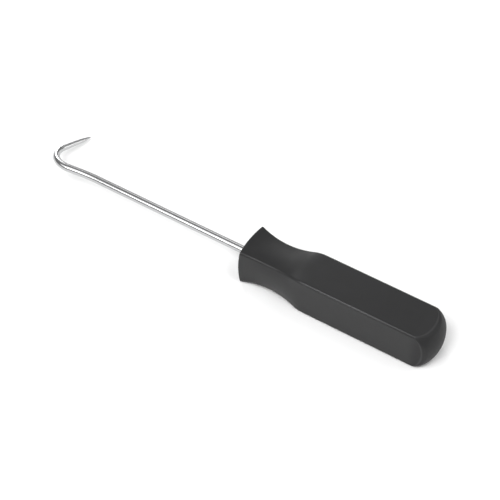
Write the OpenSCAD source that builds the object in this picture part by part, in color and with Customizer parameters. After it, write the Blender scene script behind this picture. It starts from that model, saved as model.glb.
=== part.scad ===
// O-ring pick: a steel wire with a ground, bent hook, moulded into a square-section plastic handle.
// The tool lies on one flat of its grip. +X runs along the shank toward the butt, +Z is up,
// and the origin is the middle of the grip's underside.

/* [Handle] */
// Width across the flats of the square grip
grip_w = 16; // [13:0.5:22]
// Length of the straight, square part of the grip
grip_len = 41; // [25:1:70]
// Rounding of the four long edges
edge_r = 0.9; // [0.4:0.1:2]
// Width across the flats at the thinnest place of the neck
neck_w = 12.7; // [9:0.1:12.9]
// Distance of the thinnest place of the neck from the front of the handle
neck_pos = 12.8; // [8:0.2:18]
// Radius of the hollow in each side of the neck
neck_r = 45.5; // [30:0.5:80]
// Height of the crown across each side of the neck
neck_crown = 0.5; // [0:0.05:0.8]
// Distance of the crown's highest place from the front of the handle
crown_pos = 18.6; // [14:0.2:24]
// Radius of the shoulder where the neck swells into the grip
shoulder_r = 19.5; // [8:0.5:40]
// Radius of the slightly domed front face
front_r = 45; // [25:1:120]
// Length of the domed butt behind the square part
butt_len = 9; // [4:0.2:11]

/* [Shank] */
// Diameter of the steel wire
wire_d = 3; // [2:0.1:4.5]
// Length of straight wire in front of the handle
shank_len = 66; // [30:1:140]
// Length of wire held inside the handle
tang_len = 52; // [30:1:60]
// Width over the two wings pressed out of the wire, which stop it turning in the handle
wing_w = 5.4; // [4.7:0.1:7]
// Thickness of the wings
wing_t = 1.2; // [0.8:0.1:1.8]
// Length of the wings
wing_len = 9; // [4:0.5:14]
// Distance of the wings from the wire's buried end
wing_setback = 5; // [2:0.5:10]
// Gap between the wire and the plastic moulded round it
mould_gap = 0.02; // [0.01:0.01:0.1]

/* [Hook] */
// Angle that the wire leans away from the hook before its bend
lean_angle = 8; // [1:1:15]
// Radius of that lean, at the middle of the wire
lean_r = 61; // [30:1:120]
// Straight wire between the lean and the bend
lean_run = 4.4; // [1:0.2:12]
// Radius of the bend, at the middle of the wire
bend_r = 9; // [5:0.2:14]
// Angle between the point and the shank
hook_angle = 80; // [60:1:110]
// Length of the straight point beyond the bend
point_len = 14.4; // [8:0.2:18]
// Diameter of the blunted tip
tip_d = 0.5; // [0.2:0.05:0.8]
// Turn of the hook about the shank, with 0 level and downward negative
hook_roll = -17; // [-17:1:90]

/* [Hidden] */

$fn = 96;
// Sides of the swept wire, and segments in a rounded edge and in a crowned side
wire_sides = 32;
edge_steps = 6;
side_steps = 6;
// Rings in the hollow and in the shoulder of the neck
hollow_rings = 12;
shoulder_rings = 10;
// Rings in the lean, in the bend and in the point
lean_rings = 6;
bend_rings = 36;
point_rings = 16;
// Spare length that the handle's blank has past each end before it is turned to shape
blank_spare = 2;
// The bent end starts this far inside the straight shank, and is this much less in radius
seam_lap = 1;
seam_ease = 0.01;

wire_r = wire_d / 2;
bent_r = wire_r - seam_ease;
axis_z = grip_w / 2;

// Handle stations along X, from the run of the neck's two arcs
arc_sum = neck_r + shoulder_r;
arc_drop = arc_sum - (grip_w - neck_w) / 2;
swell_run = sqrt(arc_sum * arc_sum - arc_drop * arc_drop);
hollow_run = swell_run * neck_r / arc_sum;
grip_front_x = -grip_len / 2;
grip_back_x = grip_len / 2;
neck_x = grip_front_x - swell_run;
front_x = neck_x - neck_pos;
crown_x = front_x + crown_pos;
tang_end_x = front_x + tang_len;

// The butt is turned to the square's own diagonal, so its dome starts on the four edges.
// The dome's outline is a quarter of an oval, drawn as a large arc at its end and a small one at its side.
turned_r = grip_w / sqrt(2);
butt_x = grip_back_x + butt_len;
butt_cap_r = turned_r * turned_r / butt_len;
butt_edge_r = butt_len * (turned_r + butt_len) / (2 * turned_r);
edge_ring_r = turned_r - butt_edge_r;
cap_x = butt_x - butt_cap_r;
arcs_meet_x = cap_x + butt_cap_r * (grip_back_x - cap_x) / (butt_cap_r - butt_edge_r);

// Half width of the square section at a place along the handle
function hollow_half(x) = neck_w / 2 + neck_r - sqrt(neck_r * neck_r - (x - neck_x) * (x - neck_x));
function shoulder_half(x) =
    grip_w / 2 - shoulder_r + sqrt(shoulder_r * shoulder_r - (x - grip_front_x) * (x - grip_front_x));

// Places and half widths of the handle's sections, front to back
hollow_start_x = front_x - blank_spare;
hollow_end_x = neck_x + hollow_run;
sections = [
    for (i = [0 : hollow_rings])
        let (x = hollow_start_x + (hollow_end_x - hollow_start_x) * i / hollow_rings) [x, hollow_half(x)],
    for (i = [1 : shoulder_rings])
        let (x = hollow_end_x + (grip_front_x - hollow_end_x) * i / shoulder_rings) [x, shoulder_half(x)],
    [butt_x + blank_spare, grip_w / 2]
];

// Height of the crown across a side, which eases in from the front, eases out before the grip
// and never stands higher than the grip's own flats
function eased(share) = (1 - cos(180 * max(0, min(1, share)))) / 2;
function full_crown(x) =
    neck_crown * eased((x - front_x) / crown_pos) * eased((grip_front_x - x) / (grip_front_x - crown_x));
function side_crown(x, half) = max(0, min(grip_w / 2 - half, full_crown(x)));

// A square with rounded corners and crowned sides, about the handle's axis
function spoke(a) = [cos(a), sin(a)];
function square_outline(half, crown) = [
    for (corner = [0 : 3])
        let (
            side = 90 * (corner + 1),
            inset = half - edge_r,
            tilt = atan(2 * crown / inset),
            edge_mid = sqrt(2) * inset * spoke(side - 45),
            side_start = edge_mid + edge_r * spoke(side - tilt),
            side_run = 2 * (inset + edge_r * sin(tilt))
        )
        each [
            for (i = [0 : edge_steps])
                edge_mid + edge_r * spoke(side - 90 + tilt + (90 - 2 * tilt) * i / edge_steps),
            for (i = [1 : side_steps - 1])
                let (
                    share = i / side_steps,
                    rise = 4 * crown * share * (1 - share)
                )
                side_start + side_run * share * spoke(side + 90) + rise * spoke(side)
        ]
];
function square_ring(x, half) = [for (p = square_outline(half, side_crown(x, half))) [x, p[0], p[1]]];

// The wire's middle line beyond the straight shank lies in one plane, as [along X, toward the point].
// A heading of 0 runs along -X, and a positive heading leans away from the point.
function heading_dir(a) = [-cos(a), -sin(a)];
function heading_side(a) = [-sin(a), cos(a)];

point_heading = hook_angle - 180;
bend_turn = lean_angle - point_heading;
lean_start = [front_x - shank_len, 0];
lean_centre = lean_start - lean_r * heading_side(0);
run_start = lean_centre + lean_r * heading_side(lean_angle);
bend_start = run_start + lean_run * heading_dir(lean_angle);
bend_centre = bend_start + bend_r * heading_side(lean_angle);
point_start = bend_centre - bend_r * heading_side(point_heading);
tip = point_start + point_len * heading_dir(point_heading);

// The wire is ground from the start of the bend to its tip, and its section shrinks evenly all the way
bend_run = bend_r * bend_turn * PI / 180;
grind_run = bend_run + point_len;
tip_r = tip_d / 2;
function ground_r(from_tip) = sqrt(tip_r * tip_r + (bent_r * bent_r - tip_r * tip_r) * from_tip / grind_run);

// Rings of the bent end, as [middle, heading, radius]
wire_rings = [
    [lean_start - seam_lap * heading_dir(0), 0, bent_r],
    for (i = [0 : lean_rings])
        let (a = lean_angle * i / lean_rings) [lean_centre + lean_r * heading_side(a), a, bent_r],
    for (i = [0 : bend_rings])
        let (
            turned = i / bend_rings,
            a = lean_angle - bend_turn * turned
        )
        [bend_centre - bend_r * heading_side(a), a, ground_r(grind_run - bend_run * turned)],
    for (i = [1 : point_rings])
        let (
            left = point_len * pow(1 - i / point_rings, 2)
        )
        [tip - left * heading_dir(point_heading), point_heading, ground_r(left)]
];

// A ring across the wire, in the hook's plane turned by the roll about the shank
function wire_ring(ring) = [
    for (i = [0 : wire_sides - 1])
        let (
            a = 360 * i / wire_sides,
            in_plane = ring[0] + ring[2] * cos(a) * heading_side(ring[1]),
            across = -ring[2] * sin(a)
        )
        [
            in_plane[0],
            in_plane[1] * cos(hook_roll) - across * sin(hook_roll),
            axis_z + in_plane[1] * sin(hook_roll) + across * cos(hook_roll)
        ]
];

// The middle of a ring's points
function middle_of(ring) = [for (p = ring) 1] * ring / len(ring);

// A closed skin over rings that all have the same number of points, with a fan of triangles over each end
module skin(rings) {
    sides = len(rings[0]);
    last = len(rings) - 1;
    front_mid = len(rings) * sides;
    back_mid = front_mid + 1;
    points = concat([for (ring = rings, p = ring) p], [middle_of(rings[0]), middle_of(rings[last])]);
    walls = [
        for (r = [0 : last - 1], i = [0 : sides - 1])
            let (
                j = (i + 1) % sides,
                a = r * sides,
                b = a + sides
            )
            [a + i, b + i, b + j, a + j]
    ];
    ends = [
        for (i = [0 : sides - 1])
            let (
                j = (i + 1) % sides,
                a = last * sides
            )
            each [[front_mid, i, j], [back_mid, a + j, a + i]]
    ];
    polyhedron(points, concat(walls, ends));
}

// Round bar along the shank's axis
module round_bar(start_x, end_x, r) {
    translate([start_x, 0, axis_z])
        rotate([0, 90, 0])
            cylinder(h = end_x - start_x, r = r);
}

// Wings on the buried wire, grown by a gap to give the hollow that they fill
module wings(gap = 0) {
    translate([tang_end_x - wing_setback - wing_len / 2, 0, axis_z])
        cube([wing_len + 2 * gap, wing_w + 2 * gap, wing_t + 2 * gap], center = true);
}

// The steel wire: tang, straight shank and ground hook
module shaft() {
    color("#d4d6d8")
        union() {
            round_bar(lean_start[0], tang_end_x, wire_r);
            wings();
            skin([for (ring = wire_rings) wire_ring(ring)]);
        }
}

// The outline that the handle's two ends are turned to, as a half section with X upward
module turned_half_section() {
    waist_x = (front_x + grip_back_x) / 2;
    // Domed front, down to the middle of the handle
    intersection() {
        translate([0, front_x + front_r]) circle(r = front_r);
        translate([0, front_x]) square([turned_r, waist_x - front_x]);
    }
    // Straight side, up to the start of the butt's rounding
    translate([0, waist_x]) square([turned_r, grip_back_x - waist_x]);
    // Side of the butt, up to the place where its two arcs meet
    intersection() {
        union() {
            translate([edge_ring_r, grip_back_x]) circle(r = butt_edge_r);
            translate([0, grip_back_x]) square([edge_ring_r, butt_edge_r]);
        }
        translate([0, grip_back_x]) square([turned_r, arcs_meet_x - grip_back_x]);
    }
    // End of the butt
    intersection() {
        translate([0, cap_x]) circle(r = butt_cap_r);
        translate([0, arcs_meet_x]) square([turned_r, butt_x - arcs_meet_x]);
    }
}

// The moulded handle: a hollowed square bar, turned to a dome at each end, round the tang
module handle() {
    color("#2c2c2d")
        difference() {
            intersection() {
                translate([0, 0, axis_z])
                    skin([for (s = sections) square_ring(s[0], s[1])]);
                translate([0, 0, axis_z])
                    rotate([0, 90, 0])
                        rotate_extrude() turned_half_section();
            }
            round_bar(front_x - blank_spare, tang_end_x + mould_gap, wire_r + mould_gap);
            wings(mould_gap);
        }
}

shaft();
handle();
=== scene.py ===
"""Looks of an o-ring pick: a bright steel wire with a ground hook, moulded into a black handle."""

import logging
import math
from collections.abc import Callable, Iterator
from contextlib import contextmanager
from dataclasses import dataclass, field
from enum import Enum

import bmesh
import bpy
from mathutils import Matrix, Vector


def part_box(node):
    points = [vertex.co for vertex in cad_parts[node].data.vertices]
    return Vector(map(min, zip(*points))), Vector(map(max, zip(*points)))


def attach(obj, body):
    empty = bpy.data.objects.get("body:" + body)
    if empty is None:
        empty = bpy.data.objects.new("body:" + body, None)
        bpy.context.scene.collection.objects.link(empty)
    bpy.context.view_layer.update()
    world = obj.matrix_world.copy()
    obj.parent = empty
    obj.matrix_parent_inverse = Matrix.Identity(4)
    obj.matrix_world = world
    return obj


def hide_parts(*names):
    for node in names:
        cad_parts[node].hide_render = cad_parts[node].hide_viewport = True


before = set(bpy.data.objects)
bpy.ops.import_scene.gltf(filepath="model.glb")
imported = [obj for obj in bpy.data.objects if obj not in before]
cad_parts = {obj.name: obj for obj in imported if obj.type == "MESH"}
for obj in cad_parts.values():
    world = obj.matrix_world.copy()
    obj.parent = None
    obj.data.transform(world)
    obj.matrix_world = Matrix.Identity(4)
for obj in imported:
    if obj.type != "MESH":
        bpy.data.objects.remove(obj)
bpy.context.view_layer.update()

LOG = logging.getLogger("o_ring_pick")
BODY = "root"
MM = 0.001


class Node(Enum):
    """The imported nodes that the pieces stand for."""

    SHAFT = "shaft"
    HANDLE = "handle"


class Slot(Enum):
    """The record's material slots."""

    STEEL = "steel"
    PLASTIC = "plastic"


class Step(Enum):
    """The sums that a shade can take part in."""

    ADD = "ADD"
    SUBTRACT = "SUBTRACT"
    MULTIPLY = "MULTIPLY"


class Join(Enum):
    """The ways to combine two shapes."""

    UNION = "UNION"
    DIFFERENCE = "DIFFERENCE"


class Shade:
    """A shader socket that takes part in Python sums."""

    def __init__(self, tree: "ShaderTree", socket: bpy.types.NodeSocket) -> None:
        """Keeps the socket and the tree that its sums are added to.

        Args:
            tree: The tree that the socket belongs to.
            socket: The output to wrap.
        """
        self.tree = tree
        self.socket = socket

    def __add__(self, other: "Shade | float") -> "Shade":
        """The sum of two values."""
        return self.tree.maths(Step.ADD, self, other)

    def __radd__(self, other: float) -> "Shade":
        """The sum of a number and this value."""
        return self.tree.maths(Step.ADD, other, self)

    def __sub__(self, other: "Shade | float") -> "Shade":
        """This value less another."""
        return self.tree.maths(Step.SUBTRACT, self, other)

    def __rsub__(self, other: float) -> "Shade":
        """A number less this value."""
        return self.tree.maths(Step.SUBTRACT, other, self)

    def __mul__(self, other: "Shade | float") -> "Shade":
        """The product of two values."""
        return self.tree.maths(Step.MULTIPLY, self, other)

    def __rmul__(self, other: float) -> "Shade":
        """The product of a number and this value."""
        return self.tree.maths(Step.MULTIPLY, other, self)


class ShaderTree:
    """A new material's nodes, with its principled shader ready to feed."""

    NOISE_MIDDLE = 0.5
    # Where a Mix node has its share, its two colours and its mixed colour
    MIX_SHARE, MIX_FIRST, MIX_SECOND, MIX_RESULT = 0, 6, 7, 2

    def __init__(self, name: str) -> None:
        """Makes an empty material with an output and a principled shader.

        Args:
            name: The material's name.
        """
        self.material = bpy.data.materials.new(name)
        self.material.use_nodes = True
        self.nodes = self.material.node_tree.nodes
        self.links = self.material.node_tree.links
        self.nodes.clear()
        output = self.nodes.new("ShaderNodeOutputMaterial")
        self.shader = self.nodes.new("ShaderNodeBsdfPrincipled")
        self.links.new(self.shader.outputs["BSDF"], output.inputs["Surface"])

    def feed(self, socket: bpy.types.NodeSocket, value: object) -> None:
        """Links a shade to a socket, or sets the socket to a plain value.

        Args:
            socket: The input to feed.
            value: A shade, a number or a list of numbers.
        """
        if isinstance(value, Shade):
            self.links.new(value.socket, socket)
        else:
            socket.default_value = value

    def node(
        self,
        kind: str,
        settings: dict[str, object] | None = None,
        inputs: dict[str | int, object] | None = None,
        output: str | int = 0,
    ) -> Shade:
        """Adds any node, sets it up and gives one of its outputs.

        Args:
            kind: The node's type, without the words that all such types start with.
            settings: The node's own properties, which are set first.
            inputs: Values or shades for its sockets, by name or place.
            output: The output to give back, by name or place.

        Returns:
            The output as a shade.
        """
        made = self.nodes.new("ShaderNode" + kind)
        for key, value in (settings or {}).items():
            setattr(made, key, value)
        for key, value in (inputs or {}).items():
            self.feed(made.inputs[key], value)
        return Shade(self, made.outputs[output])

    def maths(self, step: Step, left: Shade | float, right: Shade | float) -> Shade:
        """Adds a Math node for one sum.

        Args:
            step: The sum to work out.
            left: Its first value.
            right: Its second value.

        Returns:
            The result as a shade.
        """
        return self.node("Math", {"operation": step.value}, {0: left, 1: right})

    def noise(self, place: Shade, scale: float, detail: float = 2.0, rough: float = 0.5) -> Shade:
        """Adds a noise texture.

        Args:
            place: The coordinates that it reads.
            scale: Its features in each unit of those coordinates.
            detail: How many finer layers it has.
            rough: How strong the finer layers are.

        Returns:
            The noise, which spreads about its middle.
        """
        inputs = {"Vector": place, "Scale": scale, "Detail": detail, "Roughness": rough}
        return self.node("TexNoise", inputs=inputs)

    def streaks(self, place: Shade, along: float, across: float) -> Shade:
        """Adds a noise texture that is drawn out along X, or across it.

        Args:
            place: The coordinates that it reads.
            along: How long its features are along X.
            across: How long they are along Y and Z.

        Returns:
            The noise, which spreads about its middle.
        """
        scale = Vector((1 / along, 1 / across, 1 / across))
        stretched = self.node("Mapping", {"vector_type": "POINT"}, {"Vector": place, "Scale": scale})
        return self.noise(stretched, 1.0)

    def ramp(self, value: Shade, start: float, end: float) -> Shade:
        """A smooth step from 0 at start to 1 at end."""
        settings = {"interpolation_type": "SMOOTHSTEP"}
        return self.node("MapRange", settings, {"Value": value, "From Min": start, "From Max": end})

    def blend(self, share: Shade, first: Shade | tuple[float, ...], second: tuple[float, ...]) -> Shade:
        """Mixes two colours.

        Args:
            share: How much of the second colour shows.
            first: A mixed colour, or a red, green and blue.
            second: Another red, green and blue.

        Returns:
            The mixed colour.
        """
        start = first if isinstance(first, Shade) else (*first, 1)
        inputs = {self.MIX_SHARE: share, self.MIX_FIRST: start, self.MIX_SECOND: (*second, 1)}
        return self.node("Mix", {"data_type": "RGBA"}, inputs, self.MIX_RESULT)

    def bump(self, height: Shade, distance: float) -> Shade:
        """Turns a height into a normal, where one unit of height stands up by a distance in metres."""
        return self.node("Bump", inputs={"Height": height, "Strength": 1.0, "Distance": distance})

    def dress(self, piece: bpy.types.Object, inputs: dict[str, object]) -> None:
        """Feeds the principled shader and puts the material on a piece.

        Args:
            piece: The piece to dress.
            inputs: Values or shades for the shader's sockets, by name.
        """
        for key, value in inputs.items():
            self.feed(self.shader.inputs[key], value)
        piece.data.materials.clear()
        piece.data.materials.append(self.material)


@dataclass(frozen=True)
class MouldedPlastic:
    """Black satin plastic, rubbed where the hand holds it and coarser on the butt, with a paler band on
    the grip's edges and the butt's rim that is partly real rubbing and partly a painted highlight.
    """

    dark: tuple[float, float, float] = (0.012, 0.012, 0.0124)
    pale: tuple[float, float, float] = (0.016, 0.016, 0.0165)
    ior: float = 1.4
    roughness: float = 0.41
    roughness_spread: float = 0.12
    grain_size: float = 0.22 * MM
    grain_depth: float = 0.008 * MM
    wave_size: float = 9 * MM
    wave_depth: float = 0.03 * MM
    wave_detail: float = 1.0
    cloud_size: float = 5 * MM
    cloud_detail: float = 4.0
    cloud_rough: float = 0.6
    # Paler colour of the edge and rim band: partly real rubbing, partly a painted highlight
    worn_glint: tuple[float, float, float] = (0.03, 0.03, 0.031)
    worn_glint_shine: float = 0.14
    worn_glint_width: float = 0.36 * MM
    worn_glint_x: float = -10 * MM
    worn_glint_core: float = 8 * MM
    worn_glint_span: float = 30 * MM
    worn_glint_least: float = 0.6
    worn_glint_spread: float = 0.8
    butt_start_x: float = 20 * MM
    butt_full_x: float = 25 * MM
    butt_roughness: float = 0.22

    def dress(self, piece: bpy.types.Object, axis: Vector, edge_reach: float) -> None:
        """Puts the finish on a piece.

        Args:
            piece: The piece to dress.
            axis: A point on the axis along X that its edges lie round.
            edge_reach: How far the outermost edges lie from the axis, as the sum across and up.
        """
        tree = ShaderTree("moulded_plastic")
        place = tree.node("TexCoord", output="Object")
        from_axis = tree.node("VectorMath", {"operation": "SUBTRACT"}, {0: place, 1: axis})
        spread = tree.node("VectorMath", {"operation": "ABSOLUTE"}, {0: from_axis})
        summed = {0: spread, 1: Vector((0, 1, 1))}
        reach = tree.node("VectorMath", {"operation": "DOT_PRODUCT"}, summed, "Value")
        along = tree.node("SeparateXYZ", inputs={0: place}, output="X")
        grain = tree.noise(place, 1 / self.grain_size)
        wave = tree.noise(place, 1 / self.wave_size, self.wave_detail)
        cloud = tree.noise(place, 1 / self.cloud_size, self.cloud_detail, self.cloud_rough)
        height = grain * (self.grain_depth / self.wave_depth) + wave
        # The paler, smoother band along the grip's long edges and round the butt's rim is partly real
        # rubbing and partly a painted highlight where those edges catch the light
        from_worn = tree.node("Math", {"operation": "ABSOLUTE"}, {0: along - self.worn_glint_x})
        handled_glint = tree.ramp(from_worn, self.worn_glint_span, self.worn_glint_core)
        edges = tree.ramp(reach, edge_reach - self.worn_glint_width, edge_reach) * handled_glint
        rims = tree.node("Attribute", {"attribute_name": Tube.WORN_GLINT}, output="Fac")
        wear_and_glint = (edges + rims) * (self.worn_glint_least + self.worn_glint_spread * cloud)
        bare = tree.blend(cloud, self.dark, self.pale)
        butt = tree.ramp(along, self.butt_start_x, self.butt_full_x)
        patchy = (cloud - tree.NOISE_MIDDLE) * self.roughness_spread + self.roughness
        satin = patchy + butt * self.butt_roughness
        tree.dress(
            piece,
            {
                "Base Color": tree.blend(wear_and_glint, bare, self.worn_glint),
                "Roughness": satin - wear_and_glint * self.worn_glint_shine,
                "Normal": tree.bump(height, self.wave_depth),
                "IOR": self.ior,
            },
        )


@dataclass(frozen=True)
class BrightSteel:
    """Drawn and plated steel wire, with a ground point."""

    dark: tuple[float, float, float] = (0.465, 0.468, 0.472)
    pale: tuple[float, float, float] = (0.55, 0.552, 0.556)
    roughness: float = 0.1
    line_roughness: float = 0.1
    ground_roughness: float = 0.06
    line_width: float = 0.09 * MM
    line_length: float = 14 * MM
    line_depth: float = 0.0008 * MM
    scratch_width: float = 0.12 * MM
    scratch_length: float = 0.9 * MM
    scratch_share: float = 0.5

    def dress(self, piece: bpy.types.Object, grind_start: float, grind_end: float) -> None:
        """Puts the finish on a wire.

        Args:
            piece: The wire, with its unbent places as an attribute.
            grind_start: Where the ground stretch starts, along the unbent wire.
            grind_end: Where the grinding is in full.
        """
        tree = ShaderTree("bright_steel")
        place = tree.node("Attribute", {"attribute_name": Tube.UNBENT}, output="Vector")
        along = tree.node("SeparateXYZ", inputs={0: place}, output="X")
        lines = tree.streaks(place, self.line_length, self.line_width)
        scratches = tree.streaks(place, self.scratch_width, self.scratch_length)
        ground = tree.ramp(along, grind_start, grind_end)
        marks = lines + ground * (scratches - lines) * self.scratch_share
        dulled = marks * self.line_roughness + ground * self.ground_roughness
        tree.dress(
            piece,
            {
                "Base Color": tree.blend(marks, self.dark, self.pale),
                "Metallic": 1.0,
                "Roughness": self.roughness + dulled,
                "Normal": tree.bump(marks, self.line_depth),
            },
        )


@contextmanager
def editing(piece: bpy.types.Object) -> Iterator[None]:
    """Opens a piece in edit mode, and closes it afterwards.

    Args:
        piece: The piece to edit.

    Yields:
        Nothing, while the piece is open.
    """
    bpy.context.view_layer.objects.active = piece
    bpy.ops.object.mode_set(mode="EDIT")
    try:
        yield
    finally:
        bpy.ops.object.mode_set(mode="OBJECT")


def added(name: str) -> bpy.types.Object:
    """Names the primitive that was just added, and moves its place into its mesh.

    Args:
        name: The new name.

    Returns:
        The primitive's object, at the origin.
    """
    piece = bpy.context.active_object
    piece.name = piece.data.name = name
    bpy.ops.object.transform_apply(location=True, rotation=True, scale=True)
    return piece


def add_box(name: str, low: Vector, high: Vector) -> bpy.types.Object:
    """Adds a box between two corners.

    Args:
        name: The box's name.
        low: Its lowest corner.
        high: Its highest corner.

    Returns:
        The box.
    """
    bpy.ops.object.select_all(action="DESELECT")
    bpy.ops.mesh.primitive_cube_add(size=1, location=(low + high) / 2, scale=high - low)
    return added(name)


def combine(piece: bpy.types.Object, tool: bpy.types.Object, join: Join) -> None:
    """Cuts a tool from a piece or joins it on, and removes the tool.

    Args:
        piece: The piece that is changed.
        tool: The shape to cut or join.
        join: Whether the tool is cut away or joined on.
    """
    bpy.ops.object.select_all(action="DESELECT")
    bpy.context.view_layer.objects.active = piece
    piece.select_set(True)
    modifier = piece.modifiers.new("combine", "BOOLEAN")
    modifier.operation = join.value
    modifier.solver = "EXACT"
    modifier.object = tool
    bpy.ops.object.modifier_apply(modifier=modifier.name)
    bpy.data.objects.remove(tool)


class Tube:
    """A tube in edit mode, grown from a circle by extruding its open end ring by ring."""

    UNBENT = "unbent"
    LINE = "line"
    # Per point, how much of the paler band it has: partly real rubbing, partly a painted highlight on
    # the butt's rim
    WORN_GLINT = "worn_glint"

    def __init__(self, name: str, sides: int, radius: float, centre: Vector) -> None:
        """Adds the first ring, across X.

        Args:
            name: The piece's name.
            sides: The points in a ring.
            radius: The first ring's radius.
            centre: The first ring's middle.
        """
        bpy.ops.object.select_all(action="DESELECT")
        turn = (0, math.pi / 2, 0)
        bpy.ops.mesh.primitive_circle_add(vertices=sides, radius=radius, location=centre, rotation=turn)
        self.piece = added(name)
        self.radius = radius
        self.run = 0.0
        bpy.ops.object.mode_set(mode="EDIT")
        bpy.ops.mesh.select_all(action="SELECT")
        mesh = self.mesh()
        mesh.verts.layers.float.new(self.WORN_GLINT)
        unbent = mesh.verts.layers.float_vector.new(self.UNBENT)
        line = mesh.verts.layers.int.new(self.LINE)
        for place in mesh.verts:
            place[unbent] = place.co - centre
            place[line] = place.index
        self.update()

    def mesh(self) -> bmesh.types.BMesh:
        """The mesh that is being edited."""
        return bmesh.from_edit_mesh(self.piece.data)

    def update(self) -> None:
        """Shows a change to the mesh."""
        bmesh.update_edit_mesh(self.piece.data)

    def mark(self, step: float) -> None:
        """Writes the open end's place on the unbent tube.

        Args:
            step: How far the end has grown since the last ring.
        """
        self.run += step
        mesh = self.mesh()
        unbent = mesh.verts.layers.float_vector[self.UNBENT]
        for place in mesh.verts:
            if place.select:
                place[unbent].x = self.run
        self.update()

    def extrude(self, offset: Vector) -> None:
        """Extrudes the open end and moves it.

        Args:
            offset: How far the new ring lies from the last.
        """
        bpy.ops.mesh.extrude_region_move(TRANSFORM_OT_translate={"value": offset})
        self.mark(offset.length)

    def turn(self, angle: float, centre: Vector, length: float) -> None:
        """Extrudes the open end and swings it about an upright axis.

        Args:
            angle: The swing, counter-clockwise from above, in radians.
            centre: A point on the axis.
            length: How far the tube's middle line moves.
        """
        bpy.ops.mesh.extrude_region_move()
        # With no window open, the operator swings the other way
        bpy.ops.transform.rotate(
            value=-angle,
            orient_axis="Z",
            orient_type="GLOBAL",
            center_override=centre,
        )
        self.mark(length)

    def resize(self, radius: float, centre: Vector) -> None:
        """Scales the open end.

        Args:
            radius: The radius that it gets.
            centre: Its middle.
        """
        share = radius / self.radius
        bpy.ops.transform.resize(value=(share, share, share), center_override=centre)
        self.radius = radius

    def shape(self, place_of: Callable[[int], Vector], worn_glint: float = 0.0) -> None:
        """Extrudes the open end and sets each of its points.

        Args:
            place_of: Gives the place of a point from the number of its line.
            worn_glint: How much of the paler band the new ring has, up to 1, which is partly real
                rubbing and partly a painted highlight.
        """
        bpy.ops.mesh.extrude_region_move()
        mesh = self.mesh()
        line = mesh.verts.layers.int[self.LINE]
        wear_and_glint = mesh.verts.layers.float[self.WORN_GLINT]
        for place in mesh.verts:
            if place.select:
                place.co = place_of(place[line])
                place[wear_and_glint] = worn_glint
        self.update()

    def close(self) -> bpy.types.Object:
        """Draws the last ring together to one point, caps the first ring and leaves edit mode.

        Returns:
            The finished piece.
        """
        bpy.ops.mesh.merge(type="CENTER")
        bpy.ops.mesh.select_all(action="DESELECT")
        bpy.ops.mesh.select_non_manifold()
        bpy.ops.mesh.edge_face_add()
        bpy.ops.mesh.select_all(action="SELECT")
        bpy.ops.mesh.normals_make_consistent(inside=False)
        bpy.ops.object.mode_set(mode="OBJECT")
        return self.piece


def smooth(piece: bpy.types.Object, angle: float) -> None:
    """Shades a piece smooth, apart from edges sharper than an angle.

    Args:
        piece: The piece to shade.
        angle: The angle, in radians.
    """
    bpy.ops.object.select_all(action="DESELECT")
    bpy.context.view_layer.objects.active = piece
    piece.select_set(True)
    bpy.ops.object.shade_smooth_by_angle(angle=angle)


def hand_over(piece: bpy.types.Object, node: Node) -> None:
    """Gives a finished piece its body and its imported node.

    Args:
        piece: The finished piece.
        node: The node that it stands for.
    """
    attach(piece, BODY)
    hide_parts(node.value)


def spoke(angle: float) -> Vector:
    """A unit vector in the plane at an angle."""
    return Vector((math.cos(angle), math.sin(angle)))


def eased(share: float) -> float:
    """A soft step from 0 to 1 as a share goes from 0 to 1."""
    return (1 - math.cos(math.pi * max(0.0, min(1.0, share)))) / 2


def rounded(first: Vector, corner: Vector, last: Vector, share: float) -> Vector:
    """A place on the arc that rounds a corner.

    Args:
        first: Where the arc starts.
        corner: The corner between its ends.
        last: Where the arc ends.
        share: How far along it the place is.

    Returns:
        The place in the frame.
    """
    turn = (corner - first).angle(last - corner)
    pull = 2 * math.cos(turn / 2) * share * (1 - share)
    lead, trail = (1 - share) ** 2, share**2
    return (first * lead + corner * pull + last * trail) / (lead + pull + trail)


@dataclass
class Wings:
    """The two wings pressed out of the buried wire, as a flat box through it."""

    width: float = 5.4 * MM
    thickness: float = 1.2 * MM
    length: float = 9 * MM
    setback: float = 5 * MM

    def add(self, name: str, wire_end: Vector, gap: float) -> bpy.types.Object:
        """Adds the box.

        Args:
            name: The box's name.
            wire_end: The middle of the wire's buried end.
            gap: How much the box is grown on every side.

        Returns:
            The box.
        """
        half = Vector((self.length, self.width, self.thickness)) / 2 + Vector((gap, gap, gap))
        centre = wire_end - Vector((self.setback + self.length / 2, 0, 0))
        return add_box(name, centre - half, centre + half)


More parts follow.
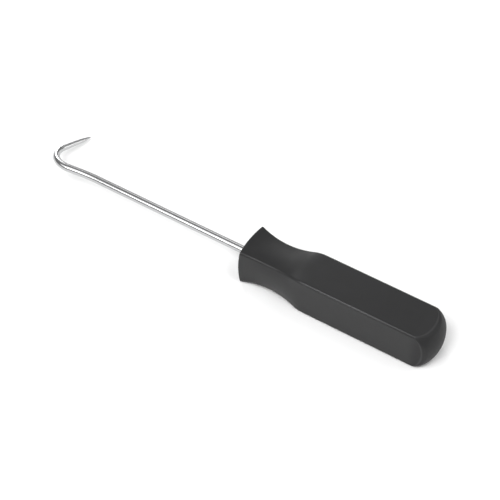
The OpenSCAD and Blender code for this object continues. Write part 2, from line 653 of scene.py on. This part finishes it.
@dataclass
class Shaft:
    """The steel wire: a buried tang, a straight shank, a lean and a ground hook."""

    axis_z: float
    front_x: float
    wings: Wings
    wire_radius: float = 1.5 * MM
    tang_length: float = 52 * MM
    tang_chamfer: float = 0.3 * MM
    shank_length: float = 66 * MM
    lean_angle: float = math.radians(8)
    lean_radius: float = 61 * MM
    lean_run: float = 4.4 * MM
    bend_radius: float = 9 * MM
    hook_angle: float = math.radians(80)
    point_length: float = 14.4 * MM
    tip_radius: float = 0.25 * MM
    tip_length: float = 6 * MM
    hook_roll: float = math.radians(-17)
    sides: int = 64
    straight_rings: int = 24
    lean_rings: int = 12
    bend_rings: int = 64
    point_rings: int = 28
    sharp_edge: float = math.radians(40)
    tang_end: Vector = field(init=False)
    bend_turn: float = field(init=False)
    grind_run: float = field(init=False)
    grind_start: float = field(init=False)
    grind_end: float = field(init=False)
    heading: Vector = field(init=False)
    piece: bpy.types.Object = field(init=False)

    def __post_init__(self) -> None:
        """Works out the tang's end, the bend's turn and the length that is ground."""
        self.tang_end = Vector((self.front_x + self.tang_length, 0, self.axis_z))
        self.bend_turn = self.lean_angle + math.pi - self.hook_angle
        self.grind_run = self.bend_radius * self.bend_turn + self.point_length

    def ground_radius(self, from_tip: float) -> float:
        """The wire's radius where it is ground: its cube shrinks evenly, and the tip is rounded off.

        Args:
            from_tip: How far the place lies from the tip, along the wire.

        Returns:
            The radius there.
        """
        tip_cube = self.tip_radius**3
        cube = tip_cube + (self.wire_radius**3 - tip_cube) * from_tip / self.grind_run
        short = max(0.0, 1 - from_tip / self.tip_length)
        return cube ** (1 / 3) * math.sqrt(1 - short**2)

    def build(self) -> None:
        """Grows the wire from its buried end to its tip, then rolls it and adds the wings."""
        tube = Tube("shaft", self.sides, self.wire_radius - self.tang_chamfer, self.tang_end)
        middle = self.tang_end + Vector((-self.tang_chamfer, 0, 0))
        tube.extrude(Vector((-self.tang_chamfer, 0, 0)))
        tube.resize(self.wire_radius, middle)
        straight = self.tang_length - self.tang_chamfer + self.shank_length
        for _ in range(self.straight_rings):
            tube.extrude(Vector((-straight / self.straight_rings, 0, 0)))
        middle.x -= straight
        middle = self.lean(tube, middle)
        self.grind_start = tube.run
        middle = self.bend(tube, middle)
        self.point(tube, middle)
        self.grind_end = tube.run
        self.piece = tube.close()
        self.roll()
        combine(self.piece, self.wings.add("wings", self.tang_end, 0), Join.UNION)
        smooth(self.piece, self.sharp_edge)

    def lean(self, tube: Tube, middle: Vector) -> Vector:
        """Leans the wire away from the hook, along an arc and a straight run.

        Args:
            tube: The wire.
            middle: The middle of its open end.

        Returns:
            The new middle of the open end.
        """
        centre = middle + Vector((0, -self.lean_radius, 0))
        step = self.lean_angle / self.lean_rings
        for _ in range(self.lean_rings):
            tube.turn(step, centre, self.lean_radius * step)
        self.heading = Vector((-math.cos(self.lean_angle), -math.sin(self.lean_angle), 0))
        start = centre + self.lean_radius * Vector((self.heading.y, -self.heading.x, 0))
        tube.extrude(self.heading * self.lean_run)
        return start + self.heading * self.lean_run

    def bend(self, tube: Tube, middle: Vector) -> Vector:
        """Bends the wire round to the point, growing thinner all the way.

        Args:
            tube: The wire.
            middle: The middle of its open end.

        Returns:
            The new middle of the open end.
        """
        side = Vector((self.heading.y, -self.heading.x, 0))
        centre = middle + self.bend_radius * side
        arm = middle - centre
        step = self.bend_turn / self.bend_rings
        for ring in range(1, self.bend_rings + 1):
            tube.turn(-step, centre, self.bend_radius * step)
            angle = -step * ring
            turned = Vector((
                arm.x * math.cos(angle) - arm.y * math.sin(angle),
                arm.x * math.sin(angle) + arm.y * math.cos(angle),
                0,
            ))
            middle = centre + turned
            from_tip = self.grind_run - self.bend_radius * step * ring
            tube.resize(self.ground_radius(from_tip), middle)
        heading_angle = math.atan2(self.heading.y, self.heading.x) - self.bend_turn
        self.heading = Vector((math.cos(heading_angle), math.sin(heading_angle), 0))
        return middle

    def point(self, tube: Tube, middle: Vector) -> None:
        """Draws the straight point out to its tip, in rings that lie closer toward it.

        Args:
            tube: The wire.
            middle: The middle of its open end.
        """
        start = middle
        last = self.point_length
        for ring in range(1, self.point_rings + 1):
            left = self.point_length * (1 - ring / self.point_rings) ** 2
            tube.extrude(self.heading * (last - left))
            last = left
            tube.resize(self.ground_radius(left), start + self.heading * (self.point_length - left))

    def roll(self) -> None:
        """Rolls the whole wire about its shank, to its hook's place."""
        with editing(self.piece):
            bpy.ops.mesh.select_all(action="SELECT")
            # With no window open, the operator turns the other way
            bpy.ops.transform.rotate(
                value=-self.hook_roll,
                orient_axis="X",
                orient_type="GLOBAL",
                center_override=self.tang_end,
            )

    def dress(self, finish: BrightSteel) -> None:
        """Gives the wire its finish, body and node."""
        finish.dress(self.piece, self.grind_start, self.grind_end)
        hand_over(self.piece, Node.SHAFT)


@dataclass
class Handle:
    """The plastic moulding: a flared front, a waisted neck, a square grip and a domed butt."""

    axis_z: float
    front_x: float
    butt_x: float
    grip_width: float
    wings: Wings
    wire_radius: float
    tang_length: float
    mould_gap: float = 0.02 * MM
    edge_radius: float = 0.9 * MM
    neck_width: float = 12.7 * MM
    neck_from_front: float = 12.8 * MM
    neck_radius: float = 45.5 * MM
    shoulder_radius: float = 19.5 * MM
    front_radius: float = 45 * MM
    neck_crown: float = 0.75 * MM
    crown_from_front: float = 18.6 * MM
    butt_length: float = 9 * MM
    rim_ease: float = 0.45 * MM
    butt_rim_radius: float = 3 * MM
    # Where the butt rim's paler band peaks, as a share of the way round; the band is partly real
    # rubbing and partly a painted highlight
    rim_wear_glint_share: float = 0.2
    bore_ease: float = 0.15 * MM
    edge_steps: int = 12
    flat_steps: int = 24
    face_rings: int = 12
    rim_rings: int = 10
    rim_passes: int = 6
    side_rings: int = 96
    dome_rings: int = 30
    sharp_edge: float = math.radians(40)
    neck_x: float = field(init=False)
    hollow_end_x: float = field(init=False)
    grip_front_x: float = field(init=False)
    grip_back_x: float = field(init=False)
    turned_radius: float = field(init=False)
    cap_radius: float = field(init=False)
    cap_x: float = field(init=False)
    cap_angle: float = field(init=False)
    butt_edge_radius: float = field(init=False)
    edge_ring_radius: float = field(init=False)
    bore_radius: float = field(init=False)
    tang_end_x: float = field(init=False)
    side_lines: int = field(init=False)
    piece: bpy.types.Object = field(init=False)

    def __post_init__(self) -> None:
        """Works out the stations along the handle from its sizes."""
        self.neck_x = self.front_x + self.neck_from_front
        arcs = self.neck_radius + self.shoulder_radius
        rise = (self.grip_width - self.neck_width) / 2
        swell = math.sqrt(arcs**2 - (arcs - rise) ** 2)
        self.hollow_end_x = self.neck_x + swell * self.neck_radius / arcs
        self.grip_front_x = self.neck_x + swell
        self.turned_radius = self.grip_width / math.sqrt(2)
        self.grip_back_x = self.butt_x - self.butt_length
        self.cap_radius = self.turned_radius**2 / self.butt_length
        self.cap_x = self.butt_x - self.cap_radius
        reach = self.turned_radius + self.butt_length
        self.butt_edge_radius = self.butt_length * reach / (2 * self.turned_radius)
        self.edge_ring_radius = self.turned_radius - self.butt_edge_radius
        self.cap_angle = math.atan2(self.grip_back_x - self.cap_x, self.edge_ring_radius)
        self.bore_radius = self.wire_radius + self.mould_gap
        self.tang_end_x = self.front_x + self.tang_length
        self.side_lines = self.edge_steps + self.flat_steps

    def half_width(self, x: float) -> float:
        """Half the handle's width across its flats.

        Args:
            x: The place along the handle.

        Returns:
            Half the width there.
        """
        if x < self.hollow_end_x:
            drop = math.sqrt(self.neck_radius**2 - (x - self.neck_x) ** 2)
            return self.neck_width / 2 + self.neck_radius - drop
        if x < self.grip_front_x:
            rise = math.sqrt(self.shoulder_radius**2 - (x - self.grip_front_x) ** 2)
            return self.grip_width / 2 - self.shoulder_radius + rise
        return self.grip_width / 2

    def crown(self, x: float) -> float:
        """How high each side is crowned across.

        Args:
            x: The place along the handle.

        Returns:
            The height of the crown's middle above a flat side.
        """
        crown_x = self.front_x + self.crown_from_front
        rise = eased((x - self.front_x) / self.crown_from_front)
        fall = eased((self.grip_front_x - x) / (self.grip_front_x - crown_x))
        room = self.grip_width / 2 - self.half_width(x)
        return max(0.0, min(room, self.neck_crown * rise * fall))

    def section(self, line: int, x: float) -> Vector:
        """A point on the rounded square across the handle.

        Args:
            line: The number of the line along the handle that the point is on.
            x: The section's place along the handle.

        Returns:
            The point, about the handle's axis.
        """
        corner, step = divmod(line, self.side_lines)
        side = math.radians(90 * (corner + 1))
        inset = self.half_width(x) - self.edge_radius
        crown = self.crown(x)
        tilt = math.atan(2 * crown / inset)
        edge_share = min(step, self.edge_steps) / self.edge_steps
        angle = side - math.pi / 2 + tilt + (math.pi / 2 - 2 * tilt) * edge_share
        point = math.sqrt(2) * inset * spoke(side - math.pi / 4) + self.edge_radius * spoke(angle)
        if step > self.edge_steps:
            share = (step - self.edge_steps) / self.flat_steps
            run = 2 * (inset + self.edge_radius * math.sin(tilt))
            bulge = 4 * crown * share * (1 - share)
            point += run * share * spoke(side + math.pi / 2) + bulge * spoke(side)
        return point

    def face_x(self, radius: float) -> float:
        """Where the domed front lies at a distance from the axis."""
        return self.front_x + self.front_radius - math.sqrt(self.front_radius**2 - radius**2)

    def dome(self, angle: float) -> tuple[float, float]:
        """A point of the butt's outline.

        Args:
            angle: How far the outline has turned from the grip's sides, in radians.

        Returns:
            The point's place along the axis, and its distance from it.
        """
        if angle < self.cap_angle:
            x = self.grip_back_x + self.butt_edge_radius * math.sin(angle)
            return x, self.edge_ring_radius + self.butt_edge_radius * math.cos(angle)
        return self.cap_x + self.cap_radius * math.sin(angle), self.cap_radius * math.cos(angle)

    def placed(self, x: float, spread: Vector) -> Vector:
        """A place in the frame from a place along the axis and a point about it."""
        return Vector((x, spread.x, self.axis_z + spread.y))

    def front_rim(self, line: int) -> float:
        """Where a line along the handle's side meets the domed front.

        Args:
            line: The number of the line.

        Returns:
            The place along the handle.
        """
        x = self.front_x
        for _ in range(self.rim_passes):
            x = self.face_x(self.section(line, x).length)
        return x

    def rim_angle(self, line: int) -> float:
        """The butt's slope where a line along the grip's side meets it."""
        radius = self.section(line, self.grip_back_x).length
        return math.acos((radius - self.edge_ring_radius) / self.butt_edge_radius)

    def on_face(self, line: int, share: float) -> Vector:
        """A place on the domed front.

        Args:
            line: The number of the line that the place is on.
            share: How far along it the place is, from the bore at 0 to the start of the rim at 1.

        Returns:
            The place in the frame.
        """
        rim = self.section(line, self.front_rim(line))
        inner = self.bore_radius + self.bore_ease
        radius = inner + (rim.length - self.rim_ease - inner) * share
        return self.placed(self.face_x(radius), rim.normalized() * radius)

    def butt_ease(self, line: int) -> float:
        """How far the rounding at the butt's rim reaches either side of it."""
        return self.butt_rim_radius * math.tan(self.rim_angle(line) / 2)

    def on_side(self, line: int, share: float) -> Vector:
        """A place on a side.

        Args:
            line: The number of the line that the place is on.
            share: How far along it the place is, from the front rim at 0 to the butt's rim at 1.

        Returns:
            The place in the frame.
        """
        start = self.front_rim(line) + self.rim_ease
        end = self.dome(self.rim_angle(line))[0] - self.butt_ease(line)
        x = start + (end - start) * share
        return self.placed(x, self.section(line, x))

    def on_dome(self, line: int, share: float) -> Vector:
        """A place on the butt.

        Args:
            line: The number of the line that the place is on.
            share: How far along it the place is, from the butt's rim at 0 to its pole at 1.

        Returns:
            The place in the frame.
        """
        rim = self.rim_angle(line)
        ease = self.butt_ease(line)
        on_cap = max(0.0, ease - (self.cap_angle - rim) * self.butt_edge_radius)
        start = rim + (ease - on_cap) / self.butt_edge_radius + on_cap / self.cap_radius
        x, radius = self.dome(start + (math.pi / 2 - start) * share)
        return self.placed(x, self.section(line, self.grip_back_x).normalized() * radius)

    def on_front_rim(self, line: int, share: float) -> Vector:
        """A place on the rounding between the front and a side.

        Args:
            line: The number of the line that the place is on.
            share: How far round it the place is, from the front at 0 to the side at 1.

        Returns:
            The place in the frame.
        """
        x = self.front_rim(line)
        corner = self.placed(x, self.section(line, x))
        return rounded(self.on_face(line, 1), corner, self.on_side(line, 0), share)

    def on_butt_rim(self, line: int, share: float) -> Vector:
        """A place on the rounding between a side and the butt.

        Args:
            line: The number of the line that the place is on.
            share: How far round it the place is, from the side at 0 to the butt at 1.

        Returns:
            The place in the frame.
        """
        x = self.dome(self.rim_angle(line))[0]
        corner = self.placed(x, self.section(line, x))
        return rounded(self.on_side(line, 1), corner, self.on_dome(line, 0), share)

    def rim_wear_and_glint(self, share: float) -> float:
        """How much of the paler band the butt's rim has at a share of the way round it, with a peak
        near the side: partly real rubbing, partly a painted highlight.
        """
        return max(0.0, 1 - abs(share / self.rim_wear_glint_share - 1))

    def in_bore(self, line: int, x: float) -> Vector:
        """A place on the wall of the bore that the wire fills."""
        return self.placed(x, self.section(line, self.front_rim(line)).normalized() * self.bore_radius)

    def build(self) -> None:
        """Grows the skin out of the bore, round the front and along the sides to the butt's pole."""
        lines = 4 * self.side_lines
        bottom = Vector((self.tang_end_x + self.mould_gap, 0, self.axis_z))
        tube = Tube("handle", lines, self.bore_radius, bottom)
        for place in tube.mesh().verts:
            place.co = self.in_bore(place.index, bottom.x)
        tube.update()
        mouth_x = self.face_x(self.bore_radius) + self.bore_ease
        tube.shape(lambda line: self.in_bore(line, mouth_x))
        stretches = (
            (self.on_face, self.face_rings, 0, False),
            (self.on_front_rim, self.rim_rings, 1, False),
            (self.on_side, self.side_rings, 1, False),
            (self.on_butt_rim, self.rim_rings, 1, True),
            (self.on_dome, self.dome_rings, 1, False),
        )
        # Only the butt's rim gets the paler band, which is partly real rubbing and partly a painted
        # highlight
        for place_of, rings, first, wears_and_glints in stretches:
            for ring in range(first, rings + 1):
                share = ring / rings
                tube.shape(lambda line: place_of(line, share), self.rim_wear_and_glint(share) if wears_and_glints else 0.0)
        self.piece = tube.close()
        wire_end = Vector((self.tang_end_x, 0, self.axis_z))
        combine(self.piece, self.wings.add("wings_hollow", wire_end, self.mould_gap), Join.DIFFERENCE)
        smooth(self.piece, self.sharp_edge)

    def dress(self, finish: MouldedPlastic) -> None:
        """Gives the handle its finish, body and node.

        Args:
            finish: The plastic to dress it in.
        """
        inset = self.grip_width / 2 - self.edge_radius
        edge_reach = 2 * inset + math.sqrt(2) * self.edge_radius
        finish.dress(self.piece, Vector((0, 0, self.axis_z)), edge_reach)
        hand_over(self.piece, Node.HANDLE)


@dataclass(frozen=True)
class Softbox:
    """One soft light, aimed at the middle of the tool."""

    name: str
    azimuth: float
    elevation: float
    power: float
    distance: float = 1.0
    size: float = 0.34

    def add(self, aim: Vector) -> None:
        """Hangs the light and turns it to a point.

        Args:
            aim: The point that it faces.
        """
        light = bpy.data.lights.new(self.name, "AREA")
        light.shape = "SQUARE"
        light.size = self.size
        light.energy = self.power
        lamp = bpy.data.objects.new(self.name, light)
        bpy.context.scene.collection.objects.link(lamp)
        back = toward(self.azimuth, self.elevation)
        lamp.location = aim + back * self.distance
        lamp.rotation_euler = (-back).to_track_quat("-Z", "Y").to_euler()


def toward(azimuth: float, elevation: float) -> Vector:
    """The direction of a viewer, from a turn about the upright axis and a height above the horizon.

    Args:
        azimuth: The turn, in degrees, where 0 looks along +Y.
        elevation: The height, in degrees.

    Returns:
        A unit vector toward the viewer.
    """
    turn, rise = math.radians(azimuth), math.radians(elevation)
    return Vector((math.sin(turn) * math.cos(rise), -math.cos(turn) * math.cos(rise), math.sin(rise)))


@dataclass
class Studio:
    """The floor, the lights and the camera."""

    aim: Vector = field(default_factory=lambda: Vector((-47.43, 0.61, 8.84)) * MM)
    azimuth: float = 32.53
    elevation: float = 48.78
    distance: float = 525.8 * MM
    lens: float = 106.6
    clip_start: float = 5 * MM
    floor_size: float = 4.0
    floor_drop: float = 0.05 * MM
    floor_colour: tuple[float, float, float] = (0.93, 0.93, 0.93)
    floor_roughness: float = 0.9
    sky: float = 0.305
    lights: tuple[Softbox, ...] = (
        Softbox("front_top", 0, 60, 4.5),
        Softbox("front", 0, 38, 0.45),
        Softbox("right_top", 80, 60, 2.15),
        Softbox("right_back_top", 120, 60, 1.25),
        Softbox("right_back_low", 135, 14, 1.0, size=0.4),
        Softbox("left_top", 320, 60, 0.55),
        Softbox("left_front", 335, 38, 1.8),
        Softbox("left", 309, 38, 0.7),
        Softbox("back", 206, 40, 0.55),
        Softbox("back_left", 232, 38, 0.3),
        Softbox("back_right", 172, 28, 0.15),
        Softbox("back_low", 228, 15, 2.7),
    )

    def add_floor(self) -> None:
        """Lays a plain pale floor just under the tool."""
        bpy.ops.object.select_all(action="DESELECT")
        bpy.ops.mesh.primitive_plane_add(size=self.floor_size, location=(0, 0, -self.floor_drop))
        floor = added("floor")
        tree = ShaderTree("pale_floor")
        tree.dress(floor, {"Base Color": (*self.floor_colour, 1), "Roughness": self.floor_roughness})

    def add_sky(self) -> None:
        """Surrounds the tool with even pale light."""
        world = bpy.data.worlds.new("studio")
        bpy.context.scene.world = world
        world.use_nodes = True
        background = world.node_tree.nodes["Background"]
        background.inputs["Color"].default_value = (1, 1, 1, 1)
        background.inputs["Strength"].default_value = self.sky

    def add_camera(self) -> None:
        """Sets up the camera at the photograph's place."""
        view = bpy.data.cameras.new("camera")
        view.lens = self.lens
        view.clip_start = self.clip_start
        camera = bpy.data.objects.new("camera", view)
        bpy.context.scene.collection.objects.link(camera)
        back = toward(self.azimuth, self.elevation)
        camera.location = self.aim + back * self.distance
        camera.rotation_euler = (-back).to_track_quat("-Z", "Y").to_euler()
        bpy.context.scene.camera = camera

    def build(self) -> None:
        """Sets up everything round the tool."""
        self.add_floor()
        self.add_sky()
        for light in self.lights:
            light.add(self.aim)
        self.add_camera()
        bpy.context.scene.view_settings.view_transform = "Standard"


def main() -> None:
    """Builds the studio and the two pieces."""
    logging.basicConfig(level=logging.INFO, format="%(name)s: %(message)s")
    low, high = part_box(Node.HANDLE.value)
    axis_z = (low.z + high.z) / 2
    wings = Wings()
    shaft = Shaft(axis_z=axis_z, front_x=low.x, wings=wings)
    handle = Handle(
        axis_z=axis_z,
        front_x=low.x,
        butt_x=high.x,
        grip_width=high.z - low.z,
        wings=wings,
        wire_radius=shaft.wire_radius,
        tang_length=shaft.tang_length,
    )
    Studio().build()
    shaft.build()
    shaft.dress(BrightSteel())
    handle.build()
    handle.dress(MouldedPlastic())
    for piece in (shaft.piece, handle.piece):
        LOG.info("%s has %d faces", piece.name, len(piece.data.polygons))


if __name__ == "__main__":
    main()
